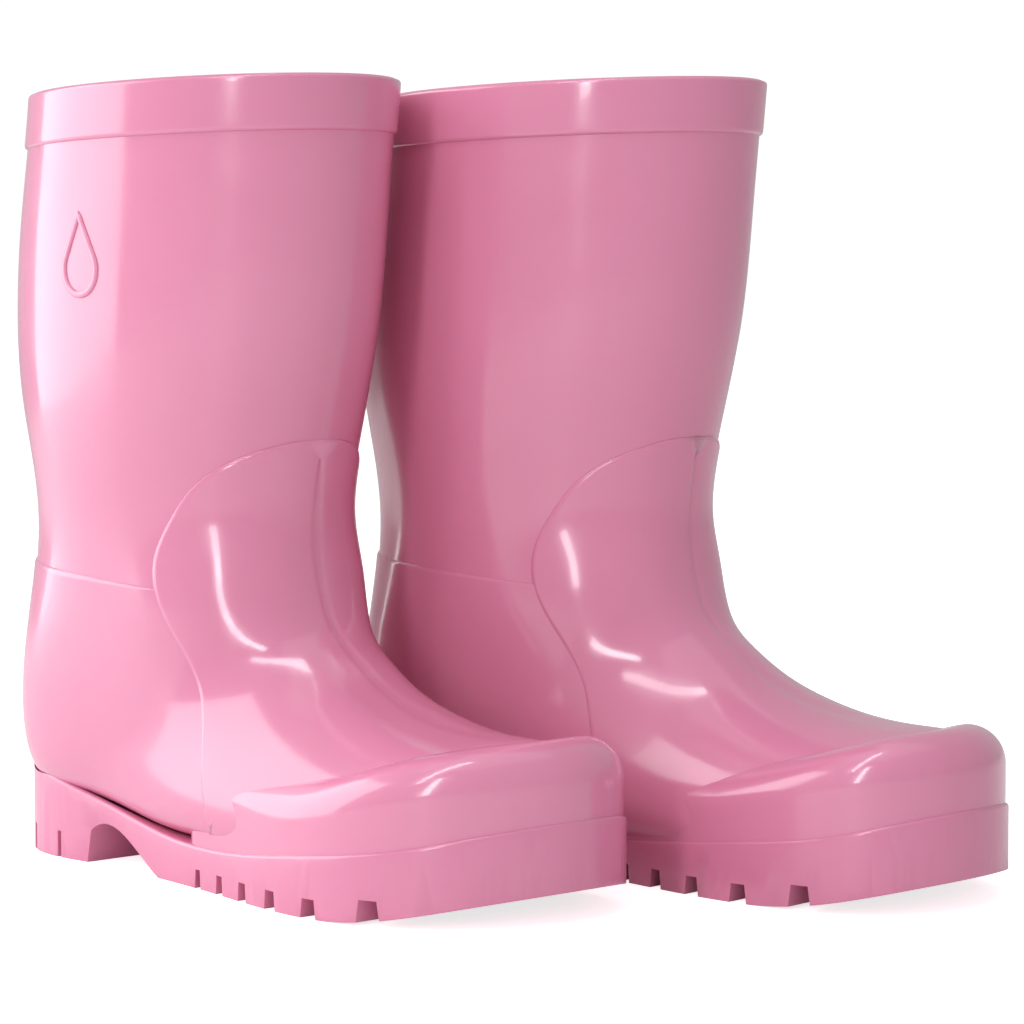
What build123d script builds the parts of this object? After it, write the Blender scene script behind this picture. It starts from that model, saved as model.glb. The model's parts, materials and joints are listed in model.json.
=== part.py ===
from build123d import *
import math
import os

# A pair of moulded rain boots, right and left, standing side by side. Sizes are in millimetres.
#
# Each boot is designed in its own frame: the back of the heel is at x = 0, the toe points along +x,
# +y is the inner side of the right foot, and the ground is z = 0. The left boot is the mirror image.
# The pair then stands with its bounding box centred over the origin, toes along +x.

# ---- overall sizes of one boot
sole_length = 265.0
boot_height = 276.0         # ground to the front of the rim
rim_drop = 5.0              # the rim is this much lower at the back
ankle_height = 122.0        # height of the narrowest section

# ---- shaft sections, outside the leg skin: depth is front to back
rim_depth = 154.0
rim_width = 108.0
calf_depth = 156.0
calf_width = 106.0
ankle_depth = 134.0
ankle_width = 94.0
calf_overhang = 5.0         # the calf stands this far behind the heel

# ---- foot sections, outside the leg skin
instep_width = 87.0
ball_width = 91.0
toe_width = 68.0
toe_height = 56.0
seat_height = 20.0          # underside of the foot above the ground at the heel
tread_height = 11.5         # and under the ball of the foot

# ---- walls
leg_wall = 2.5
lining_wall = 1.5
panel_wall = 1.2            # vamp, heel counter and collar band stand this proud of the leg
emblem_wall = 0.8
board_thickness = 2.0
footbed_thickness = 4.0
footbed_clearance = 0.5     # under the loose footbed
footbed_gap = 1.2           # and all round its edge

# ---- outsole
heel_length = 56.0
heel_width = 73.0
waist_width = 74.0
tread_width = 101.0
outward_swing = 2.0         # the tread reaches this much further on the outer side
arch_height = 13.5          # clearance under the waist, just in front of the heel
tread_start = 118.0         # where the forefoot comes down to the ground
spring_start = 198.0        # where the toe begins to lift off the ground
toe_spring = 11.0
foxing_heel = 34.0          # top of the outsole wall at the heel, waist, ball and toe
foxing_waist = 15.0
foxing_ball = 21.0
foxing_toe = 33.0
foxing_round = 1.2
waist_seat = 0.5            # the waist of the foot lies this far below the top of the outsole wall

# ---- tread
lug_depth = 6.5
lug_gap_first = 4.0         # width of the rearmost gap between lugs
lug_gap_growth = 1.0        # each gap is this much wider than the one behind it
lug_gap_reach = 30.0        # how far a gap runs in from the edge
lug_gap_places = (127.0, 142.0, 158.0, 176.0, 197.0, 222.0)
heel_slot_places = (19.0, 40.0)
heel_slot_width = 2.2
heel_slot_height = 9.5
heel_slot_reach = 12.0
groove_width = 3.0          # shallow grooves across the middle of the tread
groove_depth = 2.5

# ---- raised panels and the toe rand
collar_band_height = 19.0
counter_height_back = 108.0
counter_height_front = 101.0
vamp_top = 152.0
vamp_waist = 102.0          # how far back the edge of the vamp reaches, from the heel
rand_start = 116.0
rand_height_start = 32.0
rand_height_ball = 44.0
rand_height_toe = 58.0
rand_inset = 0.8            # the rand stands this far inside the outsole wall
rand_round = 8.0
emblem_centre = (76.0, 215.0)
emblem_height = 30.0
emblem_line = 2.4           # width of its raised lines

# ---- how the pair stands
toe_out = 3.0               # each boot is turned outwards by this many degrees
pair_spacing = 106.0        # between the two boots, across
pair_stagger = 76.0         # the left boot stands this far ahead
boot_pivot = 121.0          # the place along the boot that spacing and stagger are measured to

beyond = 40.0               # how far cutting shapes run past the boot


# ---- the foot and leg form ----------------------------------------------------------------------

def leg_station(rise, back, depth, width, drop):
    """One section of the shaft: rise is 0 at the ankle and 1 at the rim."""
    z = ankle_height + rise * (boot_height - ankle_height)
    return (back + depth, z, back, z - drop, width / 2, 2.0, 2.0, 0.0, 0.0)


def foot_station(top, top_z, bottom, bottom_z, width, shift, swing):
    """One section of the foot: top and bottom are shares of the sole's length."""
    return (top * sole_length, top_z, bottom * sole_length, bottom_z, width / 2, 2.3, 3.0, shift, swing)


# front x, front z, back x, back z, half width, squareness above and below, widest shift, side swing
stations = [
    leg_station(1.07, 7, rim_depth, rim_width, rim_drop),
    leg_station(1.0, 6, rim_depth, rim_width, rim_drop),
    leg_station(0.72, -2, (rim_depth + calf_depth) / 2 + 3, (rim_width + calf_width) / 2, rim_drop),
    leg_station(0.45, -calf_overhang, calf_depth, calf_width, 0),
    leg_station(0.23, -2, (calf_depth + ankle_depth) / 2, (calf_width + ankle_width) / 2 + 2, -3),
    leg_station(0.04, 4, ankle_depth, ankle_width, 13),
    foot_station(0.525, 107, 0.012, 62, instep_width + 3, 0.05, 0),
    foot_station(0.552, 88, 0.045, seat_height + 4, instep_width, 0.0, 0),
    foot_station(0.59, 79, 0.17, seat_height, instep_width - 3, -0.1, 0),
    foot_station(0.64, 70, 0.35, foxing_waist - waist_seat, instep_width - 1, -0.2, -1),
    foot_station(0.70, 63, 0.53, foxing_waist - waist_seat - 1, ball_width - 1, -0.3, -1.5),
    foot_station(0.775, toe_height + 2, 0.68, tread_height, ball_width, -0.3, -1),
    foot_station(0.86, toe_height, 0.81, tread_height + 1.5, ball_width - 6, -0.2, 0),
    foot_station(0.935, toe_height - 2, 0.918, tread_height + 7, toe_width, -0.1, 2),
    foot_station(0.974, toe_height - 7, 0.964, tread_height + 14, toe_width * 0.55, 0.0, 3),
]


def half_section(station, grow, pull, side, count=8):
    """Points of half a section, front to back round one side, grown outwards and pulled from the toe."""
    front_x, front_z, back_x, back_z, half, above, below, shift, swing = station
    middle = Vector((front_x + back_x) / 2 - pull, 0, (front_z + back_z) / 2)
    reach = Vector((front_x - back_x) / 2, 0, (front_z - back_z) / 2)
    reach = reach * ((reach.length + grow) / reach.length)
    points = []
    for step in range(count + 1):
        angle = math.pi * step / count
        power = above if step <= count / 2 else below
        along = math.copysign(abs(math.cos(angle)) ** (2 / power), math.cos(angle))
        across = side * (half + side * swing + grow) * math.sin(angle) ** (2 / power)
        along += shift * (1 - along ** 2)
        points.append(middle + reach * along + Vector(0, across, 0))
    points[0].Y = points[-1].Y = 0
    return points


def boot_form(grow):
    """Leg and foot as two solid halves, grown from the outside of the leg skin; they run past the rim."""
    halves = []
    for side in (1, -1):
        with BuildPart() as half:
            for station in stations:
                pull = -grow if station is stations[-1] else 0.0
                points = half_section(station, grow, pull, side)
                if station is stations[0]:
                    points = [point + Vector(0, 0, -2 * grow) for point in points]
                with BuildLine() as line:
                    Spline(*points, tangents=((0, side, 0), (0, -side, 0)), tangent_scalars=(1, 1))
                    Line(points[-1], points[0])
                half.pending_faces.append(Face(Wire(line.edges())))
            loft()
        halves.append(half.part)
    return halves


def wall(outside, inside=None, keep=(), cut=(), planes=()):
    """What lies between two forms, trimmed half by half and then joined on the centre plane."""
    halves = []
    for count, outer_half in enumerate(outside):
        with BuildPart() as half:
            add(outer_half)
            if inside:
                add(inside[count], mode=Mode.SUBTRACT)
            for plane, side in planes:
                split(bisect_by=plane, keep=side)
            for region in keep:
                add(region, mode=Mode.INTERSECT)
            for region in cut:
                add(region, mode=Mode.SUBTRACT)
        halves.append(half.part)
    with BuildPart() as joined:
        for half_part in halves:
            add(half_part)
    return joined.part


def floor_points(rise):
    """The underside of the foot, seen from the side and raised; it runs past both ends."""
    points = [(station[2], station[3] + rise) for station in stations[7:]]
    return [(-beyond, points[0][1] + 2)] + points + [(sole_length + beyond, points[-1][1] + 8)]


def below_line(points):
    """Everything below a line that is drawn in the side view."""
    with BuildPart() as region:
        with BuildSketch(Plane.XZ):
            with BuildLine():
                Spline(*points)
                Polyline(points[-1], (points[-1][0], -beyond), (points[0][0], -beyond), points[0])
            make_face()
        extrude(amount=rim_width, both=True)
    return region.part


# ---- the outline and side of the sole -----------------------------------------------------------

def plan_points(inset=0.0):
    """Sole outline seen from above, a closed loop from the back of the heel round the outer side."""
    outer = [
        (0.03, 0.66 * heel_width / 2),
        (0.125, heel_width / 2),
        (0.24, heel_width / 2),
        (0.36, waist_width / 2 + outward_swing),
        (0.51, waist_width / 2 + outward_swing + 6),
        (0.66, tread_width / 2 + outward_swing),
        (0.80, tread_width / 2 + outward_swing),
        (0.915, tread_width / 2 - 11),
        (0.978, 0.36 * tread_width / 2),
    ]
    inner = [
        (0.988, 0.46 * tread_width / 2),
        (0.93, tread_width / 2 - 9),
        (0.82, tread_width / 2 - outward_swing),
        (0.66, tread_width / 2 - outward_swing - 2),
        (0.51, waist_width / 2 + 2),
        (0.36, waist_width / 2 - 2),
        (0.24, heel_width / 2 - 2),
        (0.125, heel_width / 2 - 1),
        (0.03, 0.66 * heel_width / 2),
    ]
    points = [(inset, 0)]
    points += [(share * sole_length + inset * (1 - 2 * share), -(half - inset)) for share, half in outer]
    points += [(sole_length - inset, 3)]
    points += [(share * sole_length + inset * (1 - 2 * share), half - inset) for share, half in inner]
    return points


def foxing_points(rise=0.0):
    """Top of the outsole wall, seen from the side."""
    return [
        (-beyond, foxing_heel + rise),
        (0.02 * sole_length, foxing_heel + rise),
        (heel_length, (foxing_heel + foxing_waist) / 2 + rise),
        (0.42 * sole_length, foxing_waist + rise),
        (0.72 * sole_length, foxing_ball - 1 + rise),
        (0.90 * sole_length, (foxing_ball + foxing_toe) / 2 + rise),
        (0.985 * sole_length, foxing_toe + rise),
        (sole_length + beyond, foxing_toe + 6 + rise),
    ]


def plan_block(inset, height):
    with BuildPart() as block:
        with BuildSketch(Plane.XY):
            with BuildLine():
                Spline(*plan_points(inset), periodic=True)
            make_face()
        extrude(amount=height)
    return block.part


def sole_side():
    """Side view of the outsole: heel, breast, waist, tread and toe spring under the foxing line."""
    toe = sole_length + beyond
    top = foxing_points()
    with BuildPart() as region:
        with BuildSketch(Plane.XZ):
            with BuildLine():
                Polyline((-beyond, 0), (heel_length, 0), (heel_length + 2, arch_height - 2))
                Spline((heel_length + 2, arch_height - 2), (heel_length + 5, arch_height),
                       ((heel_length + tread_start) / 2, arch_height * 0.52), (tread_start, 0))
                Line((tread_start, 0), (spring_start, 0))
                Spline((spring_start, 0), ((spring_start + sole_length) / 2, toe_spring * 0.3),
                       (sole_length, toe_spring), (toe, toe_spring * 1.9), tangents=((1, 0), (1, 0.35)))
                Line((toe, toe_spring * 1.9), top[-1])
                Spline(*top)
                Line(top[0], (-beyond, 0))
            make_face()
        extrude(amount=rim_width, both=True)
    return region.part


def lug_gaps():
    """Tapered gaps between the lugs, cut in from both edges of the forefoot, wider at the ground."""
    with BuildPart() as gaps:
        for count, place in enumerate(lug_gap_places):
            width = lug_gap_first + count * lug_gap_growth
            lift = toe_spring * max(0, (place - spring_start) / (sole_length - spring_start)) ** 1.6
            for side in (-1, 1):
                edge = Plane(origin=(place, side * (tread_width / 2 + 10), lift), x_dir=(1, 0, 0),
                             z_dir=(0, -side, 0))
                up = 1 if edge.y_dir.Z > 0 else -1
                with BuildSketch(edge):
                    with BuildLine():
                        Polyline((-width * 0.62, -up * beyond / 4), (width * 0.62, -up * beyond / 4),
                                 (width * 0.36, up * lug_depth), (-width * 0.36, up * lug_depth), close=True)
                    make_face()
                extrude(amount=lug_gap_reach + 10)
            with Locations((place, 0, lift)):
                Box(groove_width, tread_width / 2, 2 * groove_depth)
    return gaps.part


def heel_slots():
    """Narrow upright slots in both flanks of the heel block."""
    with BuildPart() as slots:
        for place in heel_slot_places:
            for side in (-1, 1):
                with Locations((place, side * heel_width / 2, 0)):
                    Box(heel_slot_width, 2 * heel_slot_reach, 2 * heel_slot_height)
    return slots.part


# ---- regions of the raised panels, seen from the side ---------------------------------------------

def vamp_side():
    """The rounded edge of the vamp: up from the sole, back round the ankle, over to the front."""
    edge = [
        (vamp_waist + 36, 0),
        (vamp_waist + 27, 40),
        (vamp_waist + 20, 64),
        (vamp_waist + 9, 83),
        (vamp_waist, 102),
        (vamp_waist + 4, 122),
        (vamp_waist + 18, 140),
        (vamp_waist + 39, vamp_top),
        (vamp_waist + 39 + beyond, vamp_top + 3),
    ]
    front = sole_length + beyond
    with BuildPart() as region:
        with BuildSketch(Plane.XZ):
            with BuildLine():
                Spline(*edge)
                Polyline(edge[-1], (front, vamp_top), (front, -beyond), (edge[0][0], -beyond), edge[0])
            make_face()
        extrude(amount=rim_width, both=True)
    return region.part


def rand_side():
    """Side view of the toe rand: a rounded rear end, then a top line that climbs to the toe."""
    top = [
        (rand_start + 10, rand_height_start),
        (rand_start + 30, rand_height_start + 6),
        (0.72 * sole_length, rand_height_ball),
        (0.86 * sole_length, (rand_height_ball + rand_height_toe) / 2 + 1.5),
        (0.96 * sole_length, rand_height_toe - 0.5),
        (sole_length + beyond, rand_height_toe + 2),
    ]
    with BuildPart() as region:
        with BuildSketch(Plane.XZ):
            with BuildLine():
                Spline((rand_start, -beyond), (rand_start, 0), (rand_start, 18), (rand_start + 3, 27), *top)
                Polyline(top[-1], (top[-1][0], -beyond), (rand_start, -beyond))
            make_face()
        extrude(amount=rim_width, both=True)
    return region.part


def rim_plane(drop):
    """A plane parallel to the rim, this far below it."""
    slope = rim_drop / rim_depth
    back_z = boot_height - rim_drop - slope * 6
    return Plane(origin=(0, 0, back_z - drop), z_dir=(-slope, 0, 1))


# ---- the pieces of one boot -----------------------------------------------------------------------

def boot_pieces():
    skin = boot_form(0)
    panel_form = boot_form(panel_wall)
    leg_inside = boot_form(-leg_wall)
    lining_inside = boot_form(-leg_wall - lining_wall)
    vamp_region = vamp_side()
    below_foxing = below_line(foxing_points())
    inner = leg_wall + lining_wall

    board_top = below_line(floor_points(inner + board_thickness))
    bed_bottom = below_line(floor_points(inner + board_thickness + footbed_clearance))
    bed_top = below_line(
        floor_points(inner + board_thickness + footbed_clearance + footbed_thickness))
    pieces = {}

    rim = (rim_plane(0), Keep.BOTTOM)
    pieces["leg"] = wall(skin, leg_inside, planes=[rim])
    pieces["lining"] = wall(leg_inside, lining_inside, planes=[rim])
    band = (rim_plane(collar_band_height), Keep.TOP)
    pieces["collar_band"] = wall(panel_form, skin, planes=[rim, band])
    pieces["vamp"] = wall(panel_form, skin, keep=[vamp_region])
    counter_line = [(-beyond, counter_height_back + 1), (0, counter_height_back),
                    (vamp_waist, counter_height_front), (sole_length, counter_height_front - 5)]
    pieces["heel_counter"] = wall(panel_form, skin, keep=[below_line(counter_line)], cut=[vamp_region])

    with BuildPart() as outsole:
        add(plan_block(0, foxing_heel + beyond))
        add(sole_side(), mode=Mode.INTERSECT)
        top_edges = outsole.edges().filter_by(GeomType.LINE, reverse=True)
        fillet(top_edges.filter_by(lambda edge: edge.center().Z > foxing_waist - 1), foxing_round)
        add(panel_form, mode=Mode.SUBTRACT)
        add(lug_gaps(), mode=Mode.SUBTRACT)
        add(heel_slots(), mode=Mode.SUBTRACT)
    pieces["outsole"] = outsole.part

    with BuildPart() as toe_rand:
        add(plan_block(rand_inset, rand_height_toe + beyond))
        add(rand_side(), mode=Mode.INTERSECT)
        top_edges = toe_rand.edges().filter_by(GeomType.LINE, reverse=True)
        fillet(top_edges.filter_by(lambda edge: edge.center().Z > rand_height_start), rand_round)
        add(below_foxing, mode=Mode.SUBTRACT)
        add(panel_form, mode=Mode.SUBTRACT)
    pieces["toe_rand"] = toe_rand.part

    with BuildPart() as emblem_shape:
        with BuildSketch(Plane.XZ):
            with Locations(emblem_centre):
                drop_outline(emblem_height)
                drop_outline(emblem_height - 2 * emblem_line, mode=Mode.SUBTRACT)
        extrude(amount=rim_width)
    pieces["emblem"] = wall(boot_form(emblem_wall)[1:], skin[1:], keep=[emblem_shape.part])
    pieces["insole_board"] = wall(lining_inside, keep=[board_top])
    pieces["footbed"] = wall(boot_form(-inner - footbed_gap), keep=[bed_top], cut=[bed_bottom])
    return pieces


def drop_outline(height, mode=Mode.ADD):
    """A plain upright drop: a round belly under a short point."""
    belly = height * 0.32
    with BuildSketch(mode=Mode.PRIVATE) as drop:
        with Locations((0, -height / 2 + belly)):
            Circle(belly)
        with BuildLine():
            Polyline((-belly * 0.92, -height / 2 + belly * 1.4), (0, height / 2),
                     (belly * 0.92, -height / 2 + belly * 1.4), close=True)
        make_face()
    add(drop.sketch, mode=mode)


# ---- the pair ---------------------------------------------------------------------------------------

def stand(part, side):
    """Turn a boot piece outwards about its pivot and set it in its place: side is -1 for the right boot."""
    piece = part if side < 0 else mirror(part, about=Plane.XZ)
    place = Location((side * pair_stagger / 2, side * pair_spacing / 2, 0), (0, 0, side * toe_out))
    return place * (Location((-boot_pivot, 0, 0)) * piece)


pieces = boot_pieces()
placed = {}
for side, name in ((-1, "right"), (1, "left")):
    for piece_name, piece in pieces.items():
        placed[f"{name}_{piece_name}"] = stand(piece, side)

box = Compound(children=[Solid(s.wrapped) for p in placed.values() for s in p.solids()]).bounding_box()
to_origin = Location((-box.center().X, -box.center().Y, -box.min.Z))

os.makedirs("parts", exist_ok=True)
for name, piece in placed.items():
    node = to_origin * piece
    node.label = name
    export_step(node, f"parts/{name}.step")
    print(f"{name:22s} {node.volume / 1000:8.1f} cm3, {len(node.solids())} solid")
print("pair moved by", to_origin.position, "size", box.size)
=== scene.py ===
import bmesh
import bpy
import json
import math
import numpy as np
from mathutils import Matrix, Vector
from mathutils.bvhtree import BVHTree


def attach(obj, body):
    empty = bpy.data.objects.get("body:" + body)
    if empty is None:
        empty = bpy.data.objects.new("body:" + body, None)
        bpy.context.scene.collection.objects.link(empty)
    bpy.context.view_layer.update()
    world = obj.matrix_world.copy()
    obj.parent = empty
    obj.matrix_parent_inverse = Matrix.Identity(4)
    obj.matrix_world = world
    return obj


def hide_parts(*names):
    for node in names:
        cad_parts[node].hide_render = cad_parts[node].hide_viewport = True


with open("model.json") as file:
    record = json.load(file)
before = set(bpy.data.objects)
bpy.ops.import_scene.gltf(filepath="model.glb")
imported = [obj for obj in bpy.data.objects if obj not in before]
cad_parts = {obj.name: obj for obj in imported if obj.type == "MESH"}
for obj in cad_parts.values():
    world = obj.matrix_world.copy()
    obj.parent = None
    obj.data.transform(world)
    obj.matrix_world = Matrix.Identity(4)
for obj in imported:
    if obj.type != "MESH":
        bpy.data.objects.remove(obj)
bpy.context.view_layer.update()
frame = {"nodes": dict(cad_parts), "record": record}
print("frame loaded:", len(frame["nodes"]), "nodes")

mm = 0.001

# a boot's own frame: heel at x = 0, toe along +x, +y towards the other boot, ground at z = 0, in mm
foot = {
    "soleLength": 265, "height": 276, "rimDrop": 5, "ankleHeight": 122,
    "rimDepth": 154, "rimWidth": 108, "calfDepth": 156, "calfWidth": 106,
    "ankleDepth": 134, "ankleWidth": 94, "calfOverhang": 5,
    "instepWidth": 87, "ballWidth": 91, "toeWidth": 68, "toeHeight": 56,
    "seatHeight": 20, "treadHeight": 11.5, "legWall": 2.5, "liningWall": 1.5, "panelWall": 1.2,
}

# the flat resting places of each boot, at these distances from its heel, give where it stands
restAt = {"heel": 29.0, "forefoot": 150.0}


def legStation(rise, back, depth, width, drop):
    z = foot["ankleHeight"] + rise * (foot["height"] - foot["ankleHeight"])
    return (back + depth, z, back, z - drop, width / 2, 2.0, 2.0, 0.0, 0.0)


def footStation(top, topZ, bottom, bottomZ, width, shift, swing):
    long = foot["soleLength"]
    return (top * long, topZ, bottom * long, bottomZ, width / 2, 2.3, 3.0, shift, swing)


def bootStations():
    f = foot
    midDepth, midWidth = (f["rimDepth"] + f["calfDepth"]) / 2, (f["rimWidth"] + f["calfWidth"]) / 2
    lowDepth, lowWidth = (f["calfDepth"] + f["ankleDepth"]) / 2, (f["calfWidth"] + f["ankleWidth"]) / 2
    return [
        legStation(1.07, 7, f["rimDepth"], f["rimWidth"], f["rimDrop"]),
        legStation(1.0, 6, f["rimDepth"], f["rimWidth"], f["rimDrop"]),
        legStation(0.72, -2, midDepth + 3, midWidth, f["rimDrop"]),
        legStation(0.45, -f["calfOverhang"], f["calfDepth"], f["calfWidth"], 0),
        legStation(0.23, -2, lowDepth, lowWidth + 2, -3),
        legStation(0.04, 4, f["ankleDepth"], f["ankleWidth"], 13),
        footStation(0.525, 107, 0.012, 62, f["instepWidth"] + 3, 0.05, 0),
        footStation(0.552, 88, 0.045, f["seatHeight"] + 4, f["instepWidth"], 0.0, 0),
        footStation(0.59, 79, 0.17, f["seatHeight"], f["instepWidth"] - 3, -0.1, 0),
        footStation(0.64, 70, 0.35, f["seatHeight"] - 5.5, f["instepWidth"] - 1, -0.2, -1),
        footStation(0.70, 63, 0.53, f["treadHeight"] + 2, f["ballWidth"] - 1, -0.3, -1.5),
        footStation(0.775, f["toeHeight"] + 2, 0.68, f["treadHeight"], f["ballWidth"], -0.3, -1),
        footStation(0.86, f["toeHeight"], 0.81, f["treadHeight"] + 1.5, f["ballWidth"] - 6, -0.2, 0),
        footStation(0.935, f["toeHeight"] - 2, 0.918, f["treadHeight"] + 7, f["toeWidth"], -0.1, 2),
        footStation(0.974, f["toeHeight"] - 7, 0.964, f["treadHeight"] + 14, f["toeWidth"] * 0.55, 0.0, 3),
    ]


stations = bootStations()


def curvature(knots, values):
    # second derivatives of the natural cubic curve through the values, along axis 0
    n, gap = len(knots), np.diff(knots)
    rows, right = np.eye(n), np.zeros(values.shape)
    for i in range(1, n - 1):
        rows[i, i - 1:i + 2] = gap[i - 1], 2 * (gap[i - 1] + gap[i]), gap[i]
        right[i] = 6 * ((values[i + 1] - values[i]) / gap[i] - (values[i] - values[i - 1]) / gap[i - 1])
    return np.linalg.solve(rows, right.reshape(n, -1)).reshape(values.shape)


def cubicAt(knots, values, bend, at):
    # values have one column for each entry of at
    i = np.clip(np.searchsorted(knots, at) - 1, 0, len(knots) - 2)
    gap = (knots[i + 1] - knots[i])[:, None]
    a, b = (knots[i + 1] - at)[:, None] / gap, (at - knots[i])[:, None] / gap
    pick = np.arange(len(at))
    return (a * values[i, pick] + b * values[i + 1, pick]
            + ((a ** 3 - a) * bend[i, pick] + (b ** 3 - b) * bend[i + 1, pick]) * gap ** 2 / 6)


def throughPoints(points, closed=False, samples=400):
    # a smooth curve through a few points, sampled evenly by its chord
    p = np.array(points, float)
    if closed:
        p = np.vstack([p, p, p, p[:1]])
    knots = np.concatenate([[0], np.cumsum(np.linalg.norm(np.diff(p, axis=0), axis=1))])
    low, high = (knots[len(points)], knots[2 * len(points)]) if closed else (0, knots[-1])
    at = np.linspace(low, high, samples)
    wide = np.repeat(p[:, None], samples, 1)
    return cubicAt(knots, wide, np.repeat(curvature(knots, p)[:, None], samples, 1), at)


def sectionRing(station, grow, last, count=8, samples=1601):
    # the closed section curve: -1 and 1 are the back, 0 is the front, positive is the inner side
    frontX, frontZ, backX, backZ, half, above, below, shift, swing = station
    middle = np.array([(frontX + backX) / 2 + (grow if last else 0), 0, (frontZ + backZ) / 2])
    reach = np.array([(frontX - backX) / 2, 0, (frontZ - backZ) / 2])
    reach = reach * (1 + grow / np.linalg.norm(reach))
    points = []
    for step in range(2 * count):
        angle = math.pi * (step - count) / count
        power = above if abs(angle) <= math.pi / 2 else below
        along = math.copysign(abs(math.cos(angle)) ** (2 / power), math.cos(angle))
        side = math.copysign(1, angle) if step else 1
        across = side * (half + side * swing + grow) * abs(math.sin(angle)) ** (2 / power)
        along += shift * (1 - along ** 2)
        points.append(middle + reach * along + np.array([0, 0 if step in (0, count) else across, 0]))
    ring = throughPoints(points, closed=True, samples=4 * samples)
    gaps = np.concatenate([[0], np.cumsum(np.linalg.norm(np.diff(ring, axis=0), axis=1))])
    front = gaps[np.argmin(np.abs(ring[:, 1]) - ring[:, 0] * 1e-3 + (ring[:, 0] < middle[0]) * 1e3)]
    around = np.concatenate([np.linspace(0, front, samples // 2 + 1)[:-1],
                             np.linspace(front, gaps[-1], samples // 2 + 1)])
    return np.stack([np.interp(around, gaps, ring[:, k]) for k in range(3)], 1)


def makeForm(grow):
    return np.stack([sectionRing(s, grow, s is stations[-1]) for s in stations])


def stationKnots(rings):
    steps = np.linalg.norm(np.diff(rings[:, ::20], axis=0), axis=2).mean(1)
    return np.concatenate([[0], np.cumsum(steps)])


knots = stationKnots(makeForm(0))
rimT, endT = knots[1], knots[-1]
forms = {}


def formAt(t, around, grow):
    # points of the boot's form, grown by a number; t runs from the rim to the toe, around from -1 to 1
    if grow not in forms:
        rings = makeForm(grow)
        forms[grow] = (rings, curvature(knots, rings))
    rings, bend = forms[grow]
    t, around = np.broadcast_arrays(np.asarray(t, float), np.asarray(around, float))
    place = (around.ravel() + 1) / 2 * (rings.shape[1] - 1)
    i = np.clip(place.astype(int), 0, rings.shape[1] - 2)
    share = (place - i)[None, :, None]
    values = rings[:, i] * (1 - share) + rings[:, i + 1] * share
    bends = bend[:, i] * (1 - share) + bend[:, i + 1] * share
    return cubicAt(knots, values, bends, t.ravel()).reshape(*t.shape, 3)


def raised(t, around, height, low, high):
    # points at a height that differs from place to place, between two grown forms
    share = ((np.asarray(height) - low) / (high - low))[..., None]
    return formAt(t, around, low) * (1 - share) + formAt(t, around, high) * share


def roundedStep(distance, radius):
    # a quarter round edge: 0 at the edge, 1 beyond the radius
    return np.sqrt(1 - (1 - np.clip(distance / radius, 0, 1)) ** 2)


def softStep(distance, width):
    s = np.clip(distance / width, 0, 1)
    return s * s * (3 - 2 * s)


# where each boot stands

def standing(side):
    # side is -1 for the right boot and 1 for the left one
    word = "left" if side > 0 else "right"
    rest = {m["name"]: Vector(m["pos_m"]) for m in frame["record"]["mounts"]}
    heel, ball = rest[f"{word}_heel_tread"], rest[f"{word}_forefoot_tread"]
    along = (ball - heel).normalized()
    start = heel - along * restAt["heel"] * mm
    inward = Vector((along.y * side, -along.x * side, 0))
    return start, along, inward


def toWorld(points, side):
    start, along, inward = (np.array(v) for v in standing(side))
    p = np.asarray(points, float) * mm
    out = start[None] + p[..., 0:1].reshape(-1, 1) * along + p[..., 1:2].reshape(-1, 1) * inward
    out[:, 2] += p[..., 2].ravel()
    return out


def meshPiece(name, points, faces, side, material):
    mesh = bpy.data.meshes.new(name)
    if side > 0:
        faces = [f[::-1] for f in faces]
    mesh.from_pydata(toWorld(points, side).tolist(), [], faces)
    mesh.validate()
    mesh.shade_smooth()
    piece = bpy.data.objects.new(name, mesh)
    bpy.context.scene.collection.objects.link(piece)
    mesh.materials.append(material)
    return piece


def gridFaces(rows, cols, start=0, wrap=False, flip=False):
    faces = []
    for r in range(rows - 1):
        for c in range(cols if wrap else cols - 1):
            d = (c + 1) % cols
            near, far = start + r * cols, start + (r + 1) * cols
            quad = [near + c, near + d, far + d, far + c]
            faces.append(quad[::-1] if flip else quad)
    return faces


def tubeStrip(grids):
    # grids of rows by columns that close round the boot, laid end to end and joined back to the first row
    strip = np.concatenate(grids, 0)
    rows, cols = strip.shape[:2]
    faces = gridFaces(rows, cols, wrap=True)
    last = (rows - 1) * cols
    faces += [[last + c, last + (c + 1) % cols, (c + 1) % cols, c] for c in range(cols)]
    return strip.reshape(-1, 3), faces


# materials

def newMaterial(name):
    material = bpy.data.materials.new(name)
    material.use_nodes = True
    nodes, links = material.node_tree.nodes, material.node_tree.links
    return material, nodes, links, nodes["Principled BSDF"], nodes.new("ShaderNodeTexCoord")


def noiseNode(nodes, links, coords, scale, detail=2.0, rough=0.5):
    noise = nodes.new("ShaderNodeTexNoise")
    noise.inputs["Scale"].default_value = scale
    noise.inputs["Detail"].default_value = detail
    noise.inputs["Roughness"].default_value = rough
    links.new(coords.outputs["Object"], noise.inputs["Vector"])
    return noise


def rampNode(nodes, links, source, stops):
    ramp = nodes.new("ShaderNodeValToRGB")
    links.new(source, ramp.inputs["Fac"])
    for element, (place, colour) in zip(ramp.color_ramp.elements, stops):
        element.position, element.color = place, (*colour, 1)
    return ramp


def bumpNode(nodes, links, height, distance, under=None):
    bump = nodes.new("ShaderNodeBump")
    bump.inputs["Distance"].default_value = distance
    links.new(height, bump.inputs["Height"])
    if under:
        links.new(under.outputs["Normal"], bump.inputs["Normal"])
    return bump


# how fine each pattern in the plastic is
pvcScale = {"cloud": 9, "wear": 60, "wearRange": (0.35, 0.75), "wave": 38, "peel": 420}


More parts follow.
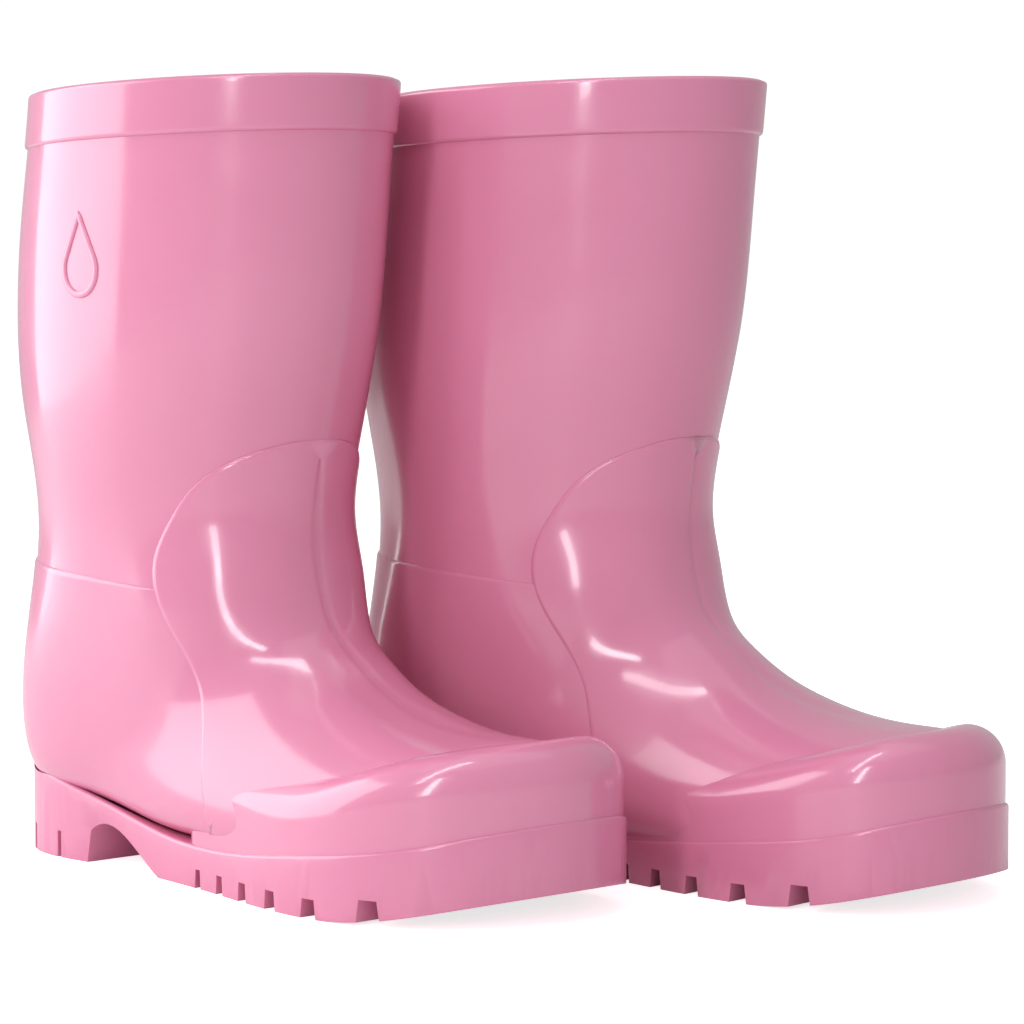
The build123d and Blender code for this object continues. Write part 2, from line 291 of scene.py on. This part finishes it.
def glossyPvc(name, light, dark, gloss):
    material, nodes, links, shader, coords = newMaterial(name)
    cloud = noiseNode(nodes, links, coords, pvcScale["cloud"], 3)
    tint = rampNode(nodes, links, cloud.outputs["Fac"], [(0.35, dark), (0.65, light)])
    links.new(tint.outputs["Color"], shader.inputs["Base Color"])
    wear = noiseNode(nodes, links, coords, pvcScale["wear"], 4, 0.6)
    rough = nodes.new("ShaderNodeMapRange")
    rough.inputs["From Min"].default_value, rough.inputs["From Max"].default_value = pvcScale["wearRange"]
    rough.inputs["To Min"].default_value = gloss["roughLow"]
    rough.inputs["To Max"].default_value = gloss["roughHigh"]
    links.new(wear.outputs["Fac"], rough.inputs["Value"])
    links.new(rough.outputs["Result"], shader.inputs["Roughness"])
    waves = noiseNode(nodes, links, coords, pvcScale["wave"], 1)
    pores = noiseNode(nodes, links, coords, pvcScale["peel"], 2)
    wave = bumpNode(nodes, links, waves.outputs["Fac"], gloss["wave"])
    peel = bumpNode(nodes, links, pores.outputs["Fac"], gloss["peel"], under=wave)
    links.new(peel.outputs["Normal"], shader.inputs["Normal"])
    shader.inputs["IOR"].default_value = gloss["ior"]
    shader.inputs["Subsurface Weight"].default_value = gloss["depth"]
    shader.inputs["Subsurface Radius"].default_value = gloss["depthTint"]
    shader.inputs["Subsurface Scale"].default_value = gloss["depthScale"]
    shader.inputs["Coat Weight"].default_value = gloss["coat"]
    shader.inputs["Coat Roughness"].default_value = gloss["coatRough"]
    return material


pvcLook = {
    "light": (0.76, 0.265, 0.42), "dark": (0.73, 0.245, 0.395),
    "gloss": {"roughLow": 0.14, "roughHigh": 0.24, "wave": 0.00012, "peel": 0.000012,
              "depth": 0.12, "depthScale": 0.004, "depthTint": (1.0, 0.35, 0.45),
              "coat": 0.35, "coatRough": 0.04, "ior": 1.65},
}
pinkPvc = glossyPvc("pinkPvc", **pvcLook)
solePvc = glossyPvc("solePvc", (0.74, 0.245, 0.40), (0.72, 0.235, 0.385),
                    {**pvcLook["gloss"], "roughLow": 0.2, "roughHigh": 0.25, "peel": 0.00002, "coat": 0.2})


# the knit's tint follows its ribs: the valley colour is painted shade in the rib valleys, the crest colour is
# the yarn's own
knitLook = {"ribs": 330, "sway": 1.2, "loops": 900, "ribDepth": 0.0003, "loopDepth": 0.00015,
            "valleyShade": (0.55, 0.25, 0.34), "crest": (0.80, 0.48, 0.56), "rough": 0.9, "sheen": 0.4}


def knittedLining():
    material, nodes, links, shader, coords = newMaterial("knitLining")
    ribs = nodes.new("ShaderNodeTexWave")
    ribs.wave_type, ribs.bands_direction = "BANDS", "DIAGONAL"
    ribs.inputs["Scale"].default_value = knitLook["ribs"]
    ribs.inputs["Distortion"].default_value = knitLook["sway"]
    links.new(coords.outputs["Object"], ribs.inputs["Vector"])
    loops = noiseNode(nodes, links, coords, knitLook["loops"], 2)
    # painted shade: the ribs are tinted darker in their valleys than on their crests
    tint = rampNode(nodes, links, ribs.outputs["Fac"], [(0.1, knitLook["valleyShade"]), (0.9, knitLook["crest"])])
    links.new(tint.outputs["Color"], shader.inputs["Base Color"])
    under = bumpNode(nodes, links, ribs.outputs["Fac"], knitLook["ribDepth"])
    over = bumpNode(nodes, links, loops.outputs["Fac"], knitLook["loopDepth"], under=under)
    links.new(over.outputs["Normal"], shader.inputs["Normal"])
    shader.inputs["Roughness"].default_value = knitLook["rough"]
    shader.inputs["Sheen Weight"].default_value = knitLook["sheen"]
    return material


# the weave's gap colour is painted shade between the threads, the thread colour is the cloth's own
clothLook = {"weave": 750, "depth": 0.0003, "thread": (0.80, 0.52, 0.60), "gap": (0.55, 0.30, 0.38),
             "rough": 0.85, "sheen": 0.3}


def footbedCloth():
    material, nodes, links, shader, coords = newMaterial("footbedCloth")
    weave = nodes.new("ShaderNodeTexVoronoi")
    weave.inputs["Scale"].default_value = clothLook["weave"]
    links.new(coords.outputs["Object"], weave.inputs["Vector"])
    # painted shade: darker towards the gaps between the threads
    stops = [(0.0, clothLook["thread"]), (0.7, clothLook["gap"])]
    tint = rampNode(nodes, links, weave.outputs["Distance"], stops)
    links.new(tint.outputs["Color"], shader.inputs["Base Color"])
    bump = bumpNode(nodes, links, weave.outputs["Distance"], clothLook["depth"])
    links.new(bump.outputs["Normal"], shader.inputs["Normal"])
    shader.inputs["Roughness"].default_value = clothLook["rough"]
    shader.inputs["Sheen Weight"].default_value = clothLook["sheen"]
    return material


boardLook = {"fibres": 300, "depth": 0.0002, "dark": (0.22, 0.17, 0.13), "light": (0.42, 0.35, 0.28),
             "rough": 0.85}


def fibreBoard():
    material, nodes, links, shader, coords = newMaterial("fibreBoard")
    fibres = noiseNode(nodes, links, coords, boardLook["fibres"], 6, 0.7)
    tint = rampNode(nodes, links, fibres.outputs["Fac"], [(0.3, boardLook["dark"]), (0.7, boardLook["light"])])
    links.new(tint.outputs["Color"], shader.inputs["Base Color"])
    bump = bumpNode(nodes, links, fibres.outputs["Fac"], boardLook["depth"])
    links.new(bump.outputs["Normal"], shader.inputs["Normal"])
    shader.inputs["Roughness"].default_value = boardLook["rough"]
    return material


knitLining, bedCloth, board = knittedLining(), footbedCloth(), fibreBoard()
print("materials made")

# the leg: one tube with a rolled rim

legLook = {"columns": 176, "rows": 130, "arcSteps": 7}
liningLook = {**legLook, "rows": 100, "gap": 0.05, "belowRim": 0.6}
around = np.linspace(-1, 1, legLook["columns"], endpoint=False)


def tubeWall(outGrow, inGrow, topT, look):
    wall = outGrow - inGrow
    down = np.linspace(topT + wall / 2, endT, look["rows"])
    inside = formAt(down[::-1, None], around[None], inGrow)
    turn = np.linspace(math.pi, 0, look["arcSteps"] + 2)[1:-1]
    arc = [raised(topT + wall / 2 - wall / 2 * math.sin(a), around[None],
                  np.full((1, len(around)), inGrow + wall / 2 + wall / 2 * math.cos(a)), inGrow, outGrow)
           for a in turn]
    outside = formAt(down[:, None], around[None], outGrow)
    return tubeStrip([inside, *arc, outside])


def makeLeg(side, word):
    points, faces = tubeWall(0.0, -foot["legWall"], rimT, legLook)
    return meshPiece(f"{word}_legTube", points, [f[::-1] for f in faces], side, pinkPvc)


def makeLining(side, word):
    look, legWall, wall = liningLook, foot["legWall"], foot["liningWall"]
    points, faces = tubeWall(-legWall - look["gap"], -legWall - wall, rimT + look["belowRim"], look)
    return meshPiece(f"{word}_sockLining", points, [f[::-1] for f in faces], side, knitLining)


# the collar band: flat, with a soft lower edge and a rounded top

bandLook = {"height": 19.0, "edgeRadius": 1.6, "topRadius": 1.3, "belowRim": 0.45, "root": -0.5}


def makeBand(side, word):
    look, high, low = bandLook, foot["panelWall"], bandLook["root"]
    tall, edge, top = look["height"], look["edgeRadius"], look["topRadius"]
    steps = np.concatenate([np.linspace(0, top, 7), np.linspace(2.2, tall - 2.4, 10),
                            tall - np.linspace(edge, 0, 8)])
    rise = high * np.minimum(roundedStep(steps, top), roundedStep(tall - steps, edge))
    t = rimT + look["belowRim"] + steps
    outer = raised(t[:, None], around[None], np.repeat(rise[:, None], len(around), 1), low, high)
    inner = formAt(t[::-1, None], around[None], low)
    points, faces = tubeStrip([outer, inner])
    return meshPiece(f"{word}_collarRing", points, [f[::-1] for f in faces], side, pinkPvc)


# the heel counter: a low raised wrap below a line round the ankle

# a raised sheet starts this far inside the leg skin, and its height is told between these two forms
sheet = {"root": -0.8, "reach": 2.0}
counterLook = {"back": 108.0, "front": 101.0, "frontAt": 102.0, "height": 0.75, "edgeRadius": 1.5,
               "edgeSink": 0.3, "columns": 220}


def crossing(column, lineZ):
    # where a column first comes down to the line
    t = np.linspace(knots[2], knots[9], 900)
    p = formAt(t, np.full(len(t), column), 0.0)
    under = np.nonzero(p[:, 2] < lineZ(p[:, 0]))[0]
    return t[under[0]]


def makeCounter(side, word):
    look = counterLook
    slope = (look["front"] - look["back"]) / look["frontAt"]
    cols = np.linspace(-1, 1, look["columns"], endpoint=False)
    start = np.array([crossing(c, lambda x: look["back"] + slope * x) for c in cols])
    # rows stand close together at the edge and further apart below it
    steps = np.concatenate([np.linspace(0, 1, 9) ** 1.5 * 2.0, np.linspace(3.5, 22, 9),
                            np.linspace(26, 190, 60)])
    last = knots[11]
    t = start[None] + steps[:, None] * (last - start[None]) / steps[-1]
    t[:10] = start[None] + steps[:10, None]
    fromEdge, sink = np.repeat(steps[:, None], len(cols), 1), look["edgeSink"]
    rise = -sink + (look["height"] + sink) * roundedStep(fromEdge, look["edgeRadius"])
    outer = raised(t, cols[None], rise, sheet["root"], sheet["reach"])
    inner = formAt(t[::-1], np.repeat(cols[None], len(t), 0), sheet["root"])
    points, faces = tubeStrip([outer, inner])
    return meshPiece(f"{word}_heelWrap", points, [f[::-1] for f in faces], side, pinkPvc)


# the vamp: a raised tongue whose edge runs round the ankle and down to the sole

vampLook = {"top": 152.0, "waist": 102.0, "edgeRadius": 2.2, "rows": 190, "footRows": 120, "columns": 64,
            "seamDepth": 0.7, "seamWidth": 0.8, "pleats": 0.16, "pleatTurn": 0.95, "pleatLean": 0.03,
            "edgeSink": 0.25, "footStart": 9, "footRun": 22}


def vampEdge():
    w = vampLook["waist"]
    line = [(w + 39.2, vampLook["top"]), (w + 30, 147.5), (w + 18, 140), (w + 4, 122), (w - 0.5, 110), (w, 101),
            (w + 9, 83), (w + 20, 64), (w + 26, 46), (w + 31, 32), (w + 35, 22)]
    return throughPoints(line, samples=vampLook["rows"])


def placeOnForm(targets):
    # t and around of points given in the side view, found on a fine table and then refined
    t, a = np.meshgrid(np.linspace(knots[1], knots[12], 420), np.linspace(0, 0.985, 300), indexing="ij")
    table = formAt(t, a, 0.0)[..., [0, 2]]
    found = []
    for target in targets:
        i = np.unravel_index(np.argmin(((table - target) ** 2).sum(-1)), t.shape)
        guess = np.array([t[i], max(a[i], 1e-3)])
        for _ in range(4):
            h = np.array([0.05, 1e-4])
            along, up = [guess[0], guess[0] + h[0], guess[0]], [guess[1], guess[1], guess[1] + h[1]]
            p = formAt(along, up, 0.0)[:, [0, 2]]
            slope = np.stack([(p[1] - p[0]) / h[0], (p[2] - p[0]) / h[1]], 1)
            if abs(np.linalg.det(slope)) < 1e-3:
                break
            step = np.linalg.solve(slope, target - p[0])
            guess = guess + np.clip(step, (-3, -0.03), (3, 0.03))
            guess[1] = min(max(guess[1], 0.0), 0.985)
        found.append(guess)
    return np.array(found)


def vampPattern():
    # t and around over one half of the vamp: rows fan from the edge to the front line
    edge = placeOnForm(vampEdge())
    edge[0, 1] = 0.0
    smooth = np.convolve(np.pad(edge[:, 0], 4, mode="edge"), np.ones(9) / 9, mode="valid")
    edge[6:-6, 0] = smooth[6:-6]
    tail = np.linspace(edge[-1, 1], 1, 16)[1:]
    edge = np.concatenate([edge, np.stack([np.full(len(tail), edge[-1, 0]), tail], 1)])
    rows = len(edge)
    share = np.linspace(0, 1, rows) ** 1.6
    first, last = edge[0, 0] + vampLook["footStart"], edge[-1, 0] + vampLook["footRun"]
    core = first + (last - first) * share
    steps = np.linspace(0, 1, vampLook["columns"]) ** 1.9
    t = edge[:, 0:1] + (core[:, None] - edge[:, 0:1]) * steps[None]
    a = edge[:, 1:2] * (1 - steps[None])
    down = np.linspace(0, 1, vampLook["footRows"] + 1)[1:, None]
    a = np.concatenate([a, np.repeat(a[-1:], len(down), 0)])
    t = np.concatenate([t, t[-1:] + (endT - 0.5 - t[-1:]) * down])
    return t, a, edge


def vampRelief(points, edgePoints):
    # height over the leg: a rounded edge, a fine mould line down the front and small pleats over the toes
    flat = points.reshape(-1, 3)
    near = np.full(len(flat), 1e9)
    for start in range(0, len(flat), 4000):
        part = flat[start:start + 4000]
        near[start:start + 4000] = np.sqrt(((part[:, None] - edgePoints[None]) ** 2).sum(-1)).min(1)
    near = near.reshape(points.shape[:2])
    look = vampLook
    rise = -look["edgeSink"] + (foot["panelWall"] + look["edgeSink"]) * roundedStep(near, look["edgeRadius"])
    x, y = points[..., 0], points[..., 1]
    fade = softStep(near - 3, 6) * softStep(230 - x, 40)
    rise = rise - look["seamDepth"] * fade * np.exp(-(y / look["seamWidth"]) ** 2)
    fold = softStep(x - 160, 30) * softStep(228 - x, 30) * softStep(17 - np.abs(y), 12)
    ridge = np.cos((np.abs(y) - look["pleatLean"] * (x - 190)) * look["pleatTurn"])
    return rise + look["pleats"] * fold * ridge


def makeVamp(side, word):
    t, a, edge = vampPattern()
    halves = []
    for sign in (-1, 1):
        base = formAt(t, sign * a, 0.0)
        edgePoints = formAt(edge[:, 0], sign * edge[:, 1], 0.0)
        rise = vampRelief(base, edgePoints[:vampLook["rows"]])
        halves.append((raised(t, sign * a, rise, sheet["root"], sheet["reach"]),
                       formAt(t, sign * a, sheet["root"])))
    # one sheet from the outer edge over the front line to the inner edge
    outer = np.concatenate([halves[0][0], halves[1][0][:, -2::-1]], 1)
    inner = np.concatenate([halves[0][1], halves[1][1][:, -2::-1]], 1)
    rows, cols = outer.shape[:2]
    count = rows * cols
    faces = gridFaces(rows, cols) + gridFaces(rows, cols, start=count, flip=True)
    border = [r * cols for r in range(rows)] + [(rows - 1) * cols + c for c in range(1, cols)]
    border += [r * cols + cols - 1 for r in range(rows - 2, -1, -1)] + list(range(cols - 2, 0, -1))
    for i, j in zip(border, border[1:] + border[:1]):
        faces.append([i, j, j + count, i + count])
    points = np.concatenate([outer.reshape(-1, 3), inner.reshape(-1, 3)])
    piece = meshPiece(f"{word}_vampPanel", points, faces, side, pinkPvc)
    tidyMesh(piece)
    return piece


def tidyMesh(piece, gap=2e-5):
    work = bmesh.new()
    work.from_mesh(piece.data)
    bmesh.ops.remove_doubles(work, verts=work.verts, dist=gap)
    bmesh.ops.dissolve_degenerate(work, edges=work.edges, dist=gap / 2)
    bmesh.ops.recalc_face_normals(work, faces=work.faces)
    work.to_mesh(piece.data)
    work.free()
    piece.data.shade_smooth()


# the sole outline, which the rand and the side wall follow

soleLook = {"heelWidth": 73.0, "waistWidth": 74.0, "treadWidth": 101.0, "outwardSwing": 2.0,
            "foxHeel": 34.0, "foxWaist": 15.0, "foxBall": 21.0, "foxToe": 33.0, "heelLength": 56.0}


def outline(inset):
    s, long = soleLook, foot["soleLength"]
    heel, waist, tread, swing = s["heelWidth"], s["waistWidth"], s["treadWidth"], s["outwardSwing"]
    outer = [(0.03, 0.66 * heel / 2), (0.125, heel / 2), (0.24, heel / 2), (0.36, waist / 2 + swing),
             (0.51, waist / 2 + swing + 6), (0.66, tread / 2 + swing), (0.80, tread / 2 + swing),
             (0.915, tread / 2 - 11), (0.978, 0.36 * tread / 2)]
    inner = [(0.988, 0.46 * tread / 2), (0.93, tread / 2 - 9), (0.82, tread / 2 - swing),
             (0.66, tread / 2 - swing - 2), (0.51, waist / 2 + 2), (0.36, waist / 2 - 2),
             (0.24, heel / 2 - 2), (0.125, heel / 2 - 1), (0.03, 0.66 * heel / 2)]
    points = [(inset, 0)]
    points += [(share * long + inset * (1 - 2 * share), -(half - inset)) for share, half in outer]
    points += [(long - inset, 3)]
    points += [(share * long + inset * (1 - 2 * share), half - inset) for share, half in inner]
    return throughPoints(points, closed=True, samples=3000)


def foxingLine():
    s, long = soleLook, foot["soleLength"]
    line = [(-40, s["foxHeel"]), (0.02 * long, s["foxHeel"]),
            (s["heelLength"], (s["foxHeel"] + s["foxWaist"]) / 2),
            (0.42 * long, s["foxWaist"]), (0.72 * long, s["foxBall"] - 1),
            (0.90 * long, (s["foxBall"] + s["foxToe"]) / 2),
            (0.985 * long, s["foxToe"]), (long + 40, s["foxToe"] + 6)]
    return throughPoints(line, samples=800)


# the toe rand: a bumper from one side of the ball round the toe to the other

randLook = {"start": 116.0, "startHeight": 32.0, "ballHeight": 44.0, "toeHeight": 58.0, "inset": 0.8,
            "round": 13.0, "rearRound": 2.5, "roundGrows": 70, "tuck": 17.0, "tuckDrop": 3.2,
            "endRound": 9.0, "columns": 300, "partingAt": 15.0, "partingDepth": 0.5, "partingWidth": 0.8,
            "underFoxing": 3.0}


def randTop():
    look, long = randLook, foot["soleLength"]
    line = [(look["start"] - 0.5, 17), (look["start"] + 2.5, 26), (look["start"] + 10, look["startHeight"]),
            (look["start"] + 30, look["startHeight"] + 6), (0.72 * long, look["ballHeight"]),
            (0.86 * long, (look["ballHeight"] + look["toeHeight"]) / 2 + 1.5),
            (0.96 * long, look["toeHeight"] - 0.5), (long + 40, look["toeHeight"] + 2)]
    return throughPoints(line, samples=900)


def makeRand(side, word):
    look = randLook
    loop = outline(look["inset"])
    keep = np.nonzero(loop[:, 0] > look["start"])[0]
    path = loop[keep[0]:keep[-1] + 1]
    length = np.concatenate([[0], np.cumsum(np.linalg.norm(np.diff(path, axis=0), axis=1))])
    total = length[-1]
    # columns stand close together at the two rounded ends
    even = np.linspace(0, 1, look["columns"])
    place = total * (even - 0.13 * np.sin(2 * math.pi * even))
    x, y = np.interp(place, length, path[:, 0]), np.interp(place, length, path[:, 1])
    dx, dy = np.gradient(x, place), np.gradient(y, place)
    size = np.hypot(dx, dy)
    inX, inY = -dy / size, dx / size
    fox, top = foxingLine(), randTop()
    low = np.interp(x, fox[:, 0], fox[:, 1]) - look["underFoxing"]
    high = np.interp(x, top[:, 0], top[:, 1])
    fromEnd = np.minimum(place, total - place)
    drawIn = look["endRound"] * (1 - roundedStep(fromEnd + 0.01, look["endRound"])) * 0.6
    grown = softStep(x - look["start"] - 4, look["roundGrows"])
    radius = look["rearRound"] + (look["round"] - look["rearRound"]) * grown
    radius = np.minimum(radius, (high - low) * 0.48)
    rows = []
    for share in np.linspace(0, 1, 8):
        rows.append((np.zeros(len(x)), low + share * (high - radius - low)))
    for angle in np.linspace(0, math.pi / 2, 12)[1:]:
        rows.append((radius * (1 - np.cos(angle)), high - radius + radius * math.sin(angle)))
    for share in np.linspace(0, 1, 8)[1:]:
        rows.append((radius + share * look["tuck"], high - look["tuckDrop"] * share ** 1.5 - share))
    rows.append((radius + look["tuck"], low))
    ring = []
    for inset, z in rows:
        ring.append(np.stack([x + inX * (inset + drawIn), y + inY * (inset + drawIn), z], 1))
    grid = np.stack(ring)
    fromLine = place - (total / 2 + look["partingAt"])
    parting = np.exp(-(fromLine / look["partingWidth"]) ** 2) * look["partingDepth"]
    wallRows = 18
    grid[:wallRows, :, 0] += (inX * parting)[None]
    grid[:wallRows, :, 1] += (inY * parting)[None]
    count, cols = grid.shape[:2]
    points = grid.reshape(-1, 3)
    faces = gridFaces(count, cols)
    faces += [[(count - 1) * cols + c, (count - 1) * cols + c + 1, c + 1, c] for c in range(cols - 1)]
    faces += [[r * cols for r in range(count)][::-1], [r * cols + cols - 1 for r in range(count)]]
    piece = meshPiece(f"{word}_toeBumper", points, faces, side, pinkPvc)
    tidyMesh(piece)
    return piece


# pieces that keep the frame's own shape, with softened edges

soften = {"sole": 0.0006, "footbed": 0.0009, "weld": 2e-6, "flat": 0.6, "edge": 32}


def softened(node, name, width, material):
    mesh = frame["nodes"][node].data.copy()
    mesh.name = name
    piece = bpy.data.objects.new(name, mesh)
    bpy.context.scene.collection.objects.link(piece)
    work = bmesh.new()
    work.from_mesh(mesh)
    bmesh.ops.remove_doubles(work, verts=work.verts, dist=soften["weld"])
    flat = math.radians(soften["flat"])
    bmesh.ops.dissolve_limit(work, angle_limit=flat, verts=work.verts, edges=work.edges)
    work.to_mesh(mesh)
    work.free()
    mesh.shade_smooth()
    mesh.materials.clear()
    mesh.materials.append(material)
    bevel = piece.modifiers.new("edges", "BEVEL")
    bevel.limit_method, bevel.angle_limit = "ANGLE", math.radians(soften["edge"])
    bevel.width, bevel.segments, bevel.harden_normals = width, 2, True
    bevel.use_clamp_overlap = True
    return piece


# the emblem: a plain drop outline standing on the outer side of the leg

emblemLook = {"x": 76.0, "z": 215.0, "height": 30.0, "line": 2.4, "proud": 0.8, "castFrom": 0.2}


def dropLine(height, steps=90):
    belly = height * 0.32
    centre = -height / 2 + belly
    meet = math.asin(belly / (height - belly))
    angles = np.linspace(-math.pi - meet, meet, steps)
    arc = np.stack([belly * np.cos(angles), centre + belly * np.sin(angles)], 1)
    tip = np.array([[0, height / 2]])
    sides = np.linspace(0, 1, 14)[1:-1, None]
    return np.concatenate([tip + (arc[0] - tip) * sides, arc, arc[-1] + (tip - arc[-1]) * sides, tip])


def makeEmblem(side, word, leg):
    look = emblemLook
    corners, sides = [v.co for v in leg.data.vertices], [list(p.vertices) for p in leg.data.polygons]
    tree = BVHTree.FromPolygons(corners, sides)
    line = dropLine(look["height"] - look["line"])
    ahead = np.roll(line, -1, 0) - np.roll(line, 1, 0)
    ahead /= np.linalg.norm(ahead, axis=1)[:, None]
    outward = np.stack([ahead[:, 1], -ahead[:, 0]], 1)
    half = [(0.12, 1), (0.36, 0.8), (0.5, 0.35), (0.5, -0.3)]
    profile = [(-across, rise) for across, rise in half[::-1]] + half
    start, along, inward = standing(side)
    points = []
    for across, rise in profile:
        flat = line + outward * across * look["line"]
        for px, pz in flat:
            origin = start + along * (look["x"] + px) * mm - inward * look["castFrom"]
            origin.z = (look["z"] + pz) * mm
            hit = tree.ray_cast(origin, inward)[0]
            points.append(hit - inward * (rise * look["proud"] * mm))
    count, cols = len(profile), len(line)
    faces = gridFaces(count, cols, wrap=True)
    last = (count - 1) * cols
    faces += [[last + c, last + (c + 1) % cols, (c + 1) % cols, c] for c in range(cols)]
    mesh = bpy.data.meshes.new(f"{word}_dropMark")
    mesh.from_pydata([tuple(p) for p in points], [], faces)
    piece = bpy.data.objects.new(mesh.name, mesh)
    bpy.context.scene.collection.objects.link(piece)
    mesh.materials.append(pinkPvc)
    tidyMesh(piece, 1e-6)
    return piece


# both boots

for side, word in ((-1, "right"), (1, "left")):
    body = f"{word}_boot"
    leg = makeLeg(side, word)
    made = [(leg, "leg", "pink_pvc"),
            (makeLining(side, word), "lining", "knit_lining"),
            (makeBand(side, word), "collar_band", "pink_pvc"),
            (makeCounter(side, word), "heel_counter", "pink_pvc"),
            (makeVamp(side, word), "vamp", "pink_pvc"),
            (makeRand(side, word), "toe_rand", "pink_pvc"),
            (makeEmblem(side, word, leg), "emblem", "pink_pvc")]
    sole = softened(f"{word}_outsole", f"{word}_luggedSole", soften["sole"], solePvc)
    made.append((sole, "outsole", "sole_rubber"))
    for piece, node, slot in made:
        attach(piece, body)
        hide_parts(f"{word}_{node}")
    bed = softened(f"{word}_footbed", f"{word}_looseFootbed", soften["footbed"], bedCloth)
    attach(bed, f"{word}_footbed_body")
    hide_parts(f"{word}_footbed")
    boardNode = frame["nodes"][f"{word}_insole_board"]
    boardNode.data.materials.clear()
    boardNode.data.materials.append(board)
    print(word, "boot made")

# floor, light and camera

studio = {"floor": (0.93, 0.925, 0.925), "floorSize": 6, "floorGlow": 0.75, "floorRough": 0.6,
          "world": (1.0, 0.985, 0.99), "worldLight": 0.5, "worldSeen": 1.05}


def makeFloor():
    mesh = bpy.data.meshes.new("studioFloor")
    edge = studio["floorSize"]
    corners = [(-edge, -edge, 0), (edge, -edge, 0), (edge, edge, 0), (-edge, edge, 0)]
    mesh.from_pydata(corners, [], [(0, 1, 2, 3)])
    floor = bpy.data.objects.new("studioFloor", mesh)
    bpy.context.scene.collection.objects.link(floor)
    material, nodes, links, shader, coords = newMaterial("floorPaint")
    grain = noiseNode(nodes, links, coords, 3, 2)
    paler = tuple(1.015 * c for c in studio["floor"])
    tint = rampNode(nodes, links, grain.outputs["Fac"], [(0.3, studio["floor"]), (0.7, paler)])
    links.new(tint.outputs["Color"], shader.inputs["Base Color"])
    shader.inputs["Roughness"].default_value = studio["floorRough"]
    # the floor glows for the camera alone, so the glow adds no light to the boots
    seen = nodes.new("ShaderNodeLightPath")
    glow = nodes.new("ShaderNodeMath")
    glow.operation = "MULTIPLY"
    glow.inputs[1].default_value = studio["floorGlow"]
    links.new(seen.outputs["Is Camera Ray"], glow.inputs[0])
    shader.inputs["Emission Color"].default_value = (1, 1, 1, 1)
    links.new(glow.outputs["Value"], shader.inputs["Emission Strength"])
    mesh.materials.append(material)


def areaLight(name, place, target, size, power):
    data = bpy.data.lights.new(name, "AREA")
    data.shape, data.size, data.size_y = "RECTANGLE", size[0], size[1]
    data.energy = power
    lamp = bpy.data.objects.new(name, data)
    lamp.location = place
    lamp.rotation_euler = (Vector(target) - Vector(place)).to_track_quat("-Z", "Y").to_euler()
    bpy.context.scene.collection.objects.link(lamp)


view = {"place": (0.9096, -0.9395, 0.2157), "pitch": 3.94, "azimuth": 43.85, "lens": 132.4,
        "shift": 0.0094, "sensor": 36, "clipStart": 0.01}


def fromView(right, back, up):
    # a place told from the camera's side: to its right, towards it, and up
    a = math.radians(view["azimuth"])
    rightWay = Vector((math.cos(a), math.sin(a), 0))
    backWay = Vector((math.sin(a), -math.cos(a), 0))
    return rightWay * right + backWay * back + Vector((0, 0, up))


# places are told from the camera's side, targets in the frame, sizes as width and height
lamps = {
    "keyStrip": {"place": (-0.62, 1.3, 0.85), "target": (0, 0, 0.85), "size": (0.13, 1.35), "power": 6},
    "sideWall": {"place": (-1.3, -0.3, 0.5), "target": (0, 0, 0.13), "size": (1.3, 1.4), "power": 15},
    "overStrip": {"place": (-0.55, 0.6, 1.5), "target": (0, 0, 0.1), "size": (0.13, 1.5), "power": 5},
    "topCloud": {"place": (0, 0, 1.6), "target": (0, 0, 0.1), "size": (1.4, 1.4), "power": 2.5},
}


def makeWorld():
    # a white backdrop where the camera sees it, and a dimmer light on the boots
    world = bpy.data.worlds.new("studioWorld")
    world.use_nodes = True
    nodes, links = world.node_tree.nodes, world.node_tree.links
    nodes["Background"].inputs["Color"].default_value = (*studio["world"], 1)
    seen = nodes.new("ShaderNodeLightPath")
    level = nodes.new("ShaderNodeMapRange")
    level.inputs["To Min"].default_value = studio["worldLight"]
    level.inputs["To Max"].default_value = studio["worldSeen"]
    links.new(seen.outputs["Is Camera Ray"], level.inputs["Value"])
    links.new(level.outputs["Result"], nodes["Background"].inputs["Strength"])
    bpy.context.scene.world = world


makeFloor()
makeWorld()
for name, lamp in lamps.items():
    areaLight(name, fromView(*lamp["place"]), lamp["target"], lamp["size"], lamp["power"])

camera = bpy.data.objects.new("studioCamera", bpy.data.cameras.new("studioCamera"))
camera.location = view["place"]
camera.rotation_euler = (math.radians(90 - view["pitch"]), 0, math.radians(view["azimuth"]))
camera.data.lens, camera.data.shift_x = view["lens"], view["shift"]
camera.data.sensor_width, camera.data.clip_start = view["sensor"], view["clipStart"]
bpy.context.scene.collection.objects.link(camera)
bpy.context.scene.camera = camera
bpy.context.scene.view_settings.view_transform = "Standard"
print("studio made")
